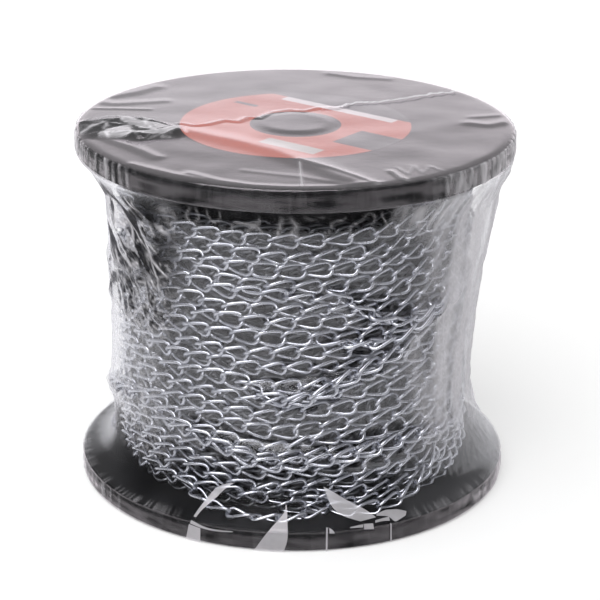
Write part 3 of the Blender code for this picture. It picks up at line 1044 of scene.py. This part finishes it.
def film_under_pixels(camera, film, pixels, lift):
    """Points on the film that the camera sees at these pixels, or at the nearest above, lifted off it."""
    eye, turn = camera.location, camera.rotation_euler.to_matrix()
    points = []
    for x, y in pixels.reshape(-1, 2).tolist():
        spot = None
        while spot is None:
            across, up = x / PICTURE_SIZE - 0.5 + SHIFT_X, 0.5 - y / PICTURE_SIZE + SHIFT_Y
            spot, normal, _, _ = film.ray_cast(eye, turn @ Vector((across, up, -FOCAL_LENGTH / SENSOR_WIDTH)))
            y -= 0.5
        if normal.dot(eye - spot) < 0:
            normal = -normal
        points.append(spot / MM + normal * lift)
    return np.array(points).reshape(*pixels.shape[:2], 3)


def surface_of(pieces):
    """The pieces' surfaces, for casting rays at."""
    corners, faces = [], []
    for piece in pieces:
        first = len(corners)
        corners += [vertex.co.copy() for vertex in piece.data.vertices]
        faces += [[first + corner for corner in face.vertices] for face in piece.data.polygons]
    return BVHTree.FromPolygons(corners, faces)


def build_film_folds(camera, film_pieces):
    """Loose folds of film at the foot."""
    film = surface_of(film_pieces)
    steps, strips = FOLD_GRID
    across = np.linspace(0, 1, strips)[None, :, None]
    grids = []
    for first, second, lift in FILM_FOLDS.values():
        edges = [along_line(edge, np.linspace(0, 1, steps))[:, None] for edge in (first, second)]
        points = film_under_pixels(camera, film, edges[0] * (1 - across) + edges[1] * across, lift)
        soften(points, FOLD_PASSES)
        grids.append(points)
    points = np.concatenate([grid.reshape(-1, 3) for grid in grids])
    fold = grid_faces(steps, strips, closed_sides=False)
    faces = [fold + index * steps * strips for index in range(len(grids))]
    film_piece("film_folds", points, faces, film_material("folded_shrink_film", FOLD_HAZE, 0.1))


def build_seal():
    """The heat-sealed edge: a narrow crinkled ribbon on the film over the upper flange."""
    steps, strips = SEAL_GRID
    line = along_line(SEAL_LINE, np.linspace(0, 1, steps))
    sideways = unit(np.gradient(line, axis=0))[:, ::-1] * (-1, 1)
    across = np.linspace(-1, 1, strips)[None, :, None]
    crinkle = lumps(np.pad(line, ((0, 0), (0, 1))), 1.6, 9.9)[:, None, None]
    flat = line[:, None] + sideways[:, None] * across * (SEAL_HALF_WIDTH + 0.35 * crinkle)
    height = FILM_TOP + SEAL_HEIGHT + 0.5 * crinkle - 0.35 * across**2
    points = np.concatenate([flat, height], axis=-1).reshape(-1, 3)
    faces = grid_faces(steps, strips, closed_sides=False)
    film_piece("film_seal", points, [faces], film_material("sealed_film_edge", SEAL_HAZE, 0.3))


def build_film(camera, wires):
    azimuths = np.arange(FILM_AROUND) * 360 / FILM_AROUND
    smooth = film_material("clear_shrink_film", THIN_HAZE, 0.06)
    rippled = film_material("rippled_shrink_film", THIN_HAZE, 0.25, SIDE_FILM_TINT, in_plies=True)
    top = build_film_top(azimuths, smooth)
    side = build_film_side(azimuths, wires, rippled)
    foot = build_film_foot(azimuths, smooth)
    build_film_folds(camera, [top, side, foot])
    build_seal()


def dress_solids():
    plastic = plastic_material()
    looks = {"upper_flange": plastic, "lower_flange": plastic, "barrel": plastic, "label": label_material()}
    for name, material in looks.items():
        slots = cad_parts[name].data.materials
        slots.clear()
        slots.append(material)


def build_world():
    """A white room, brightest near its horizon behind the reel and dim behind the camera."""
    world = bpy.data.worlds.new("white_studio")
    bpy.context.scene.world = world
    world.use_nodes = True
    tree = world.node_tree
    background = tree.nodes["Background"]
    background.inputs["Color"].default_value = (1.0, 1.0, 1.0, 1.0)
    directions = node(tree, "ShaderNodeTexCoord").outputs["Generated"]
    direction = node(tree, "ShaderNodeSeparateXYZ", {0: directions})
    smooth = {"interpolation_type": "SMOOTHSTEP"}
    back = rescaled(tree, direction.outputs["Z"], ROOM_HORIZON, ROOM_ABOVE, *ROOM_HEIGHTS, **smooth)
    level = rescaled(tree, direction.outputs["Y"], ROOM_FRONT, back, *ROOM_DEPTHS, **smooth)
    tree.links.new(level, background.inputs["Strength"])


def add_softboxes():
    for name, (location, size, power) in SOFTBOXES.items():
        data = bpy.data.lights.new(name, "AREA")
        data.size = size * MM
        data.energy = power
        lamp = bpy.data.objects.new(name, data)
        lamp.location = Vector(location) * MM
        lamp.rotation_euler = (Vector(SOFTBOX_TARGET) - Vector(location)).to_track_quat("-Z", "Y").to_euler()
        bpy.context.scene.collection.objects.link(lamp)


def build_stage():
    bpy.ops.mesh.primitive_plane_add(size=FLOOR_SIZE * MM)
    floor = bpy.context.object
    floor.name = "floor"
    floor.data.materials.append(floor_material())
    floor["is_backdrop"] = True
    build_world()
    add_softboxes()
    bpy.context.scene.view_settings.view_transform = "Standard"


def build_camera():
    elevation = math.radians(CAMERA_ELEVATION)
    data = bpy.data.cameras.new("photo_camera")
    data.lens = FOCAL_LENGTH
    data.sensor_width = SENSOR_WIDTH
    data.shift_x = SHIFT_X
    data.shift_y = SHIFT_Y
    data.clip_end = CAMERA_SIGHT * MM
    camera = bpy.data.objects.new("photo_camera", data)
    back = -CAMERA_DISTANCE * math.cos(elevation)
    camera.location = Vector((0, back, CAMERA_TARGET_HEIGHT + CAMERA_DISTANCE * math.sin(elevation))) * MM
    aim = (Vector((0, 0, CAMERA_TARGET_HEIGHT * MM)) - camera.location).to_track_quat("-Z", "Y")
    camera.rotation_euler = (aim.to_matrix() @ Matrix.Rotation(math.radians(CAMERA_ROLL), 3, "Z")).to_euler()
    bpy.context.scene.collection.objects.link(camera)
    bpy.context.scene.camera = camera
    return camera


build_stage()
dress_solids()
build_film(build_camera(), build_chain())

[[list(corner) for corner in box] for box in (cad_box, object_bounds())]
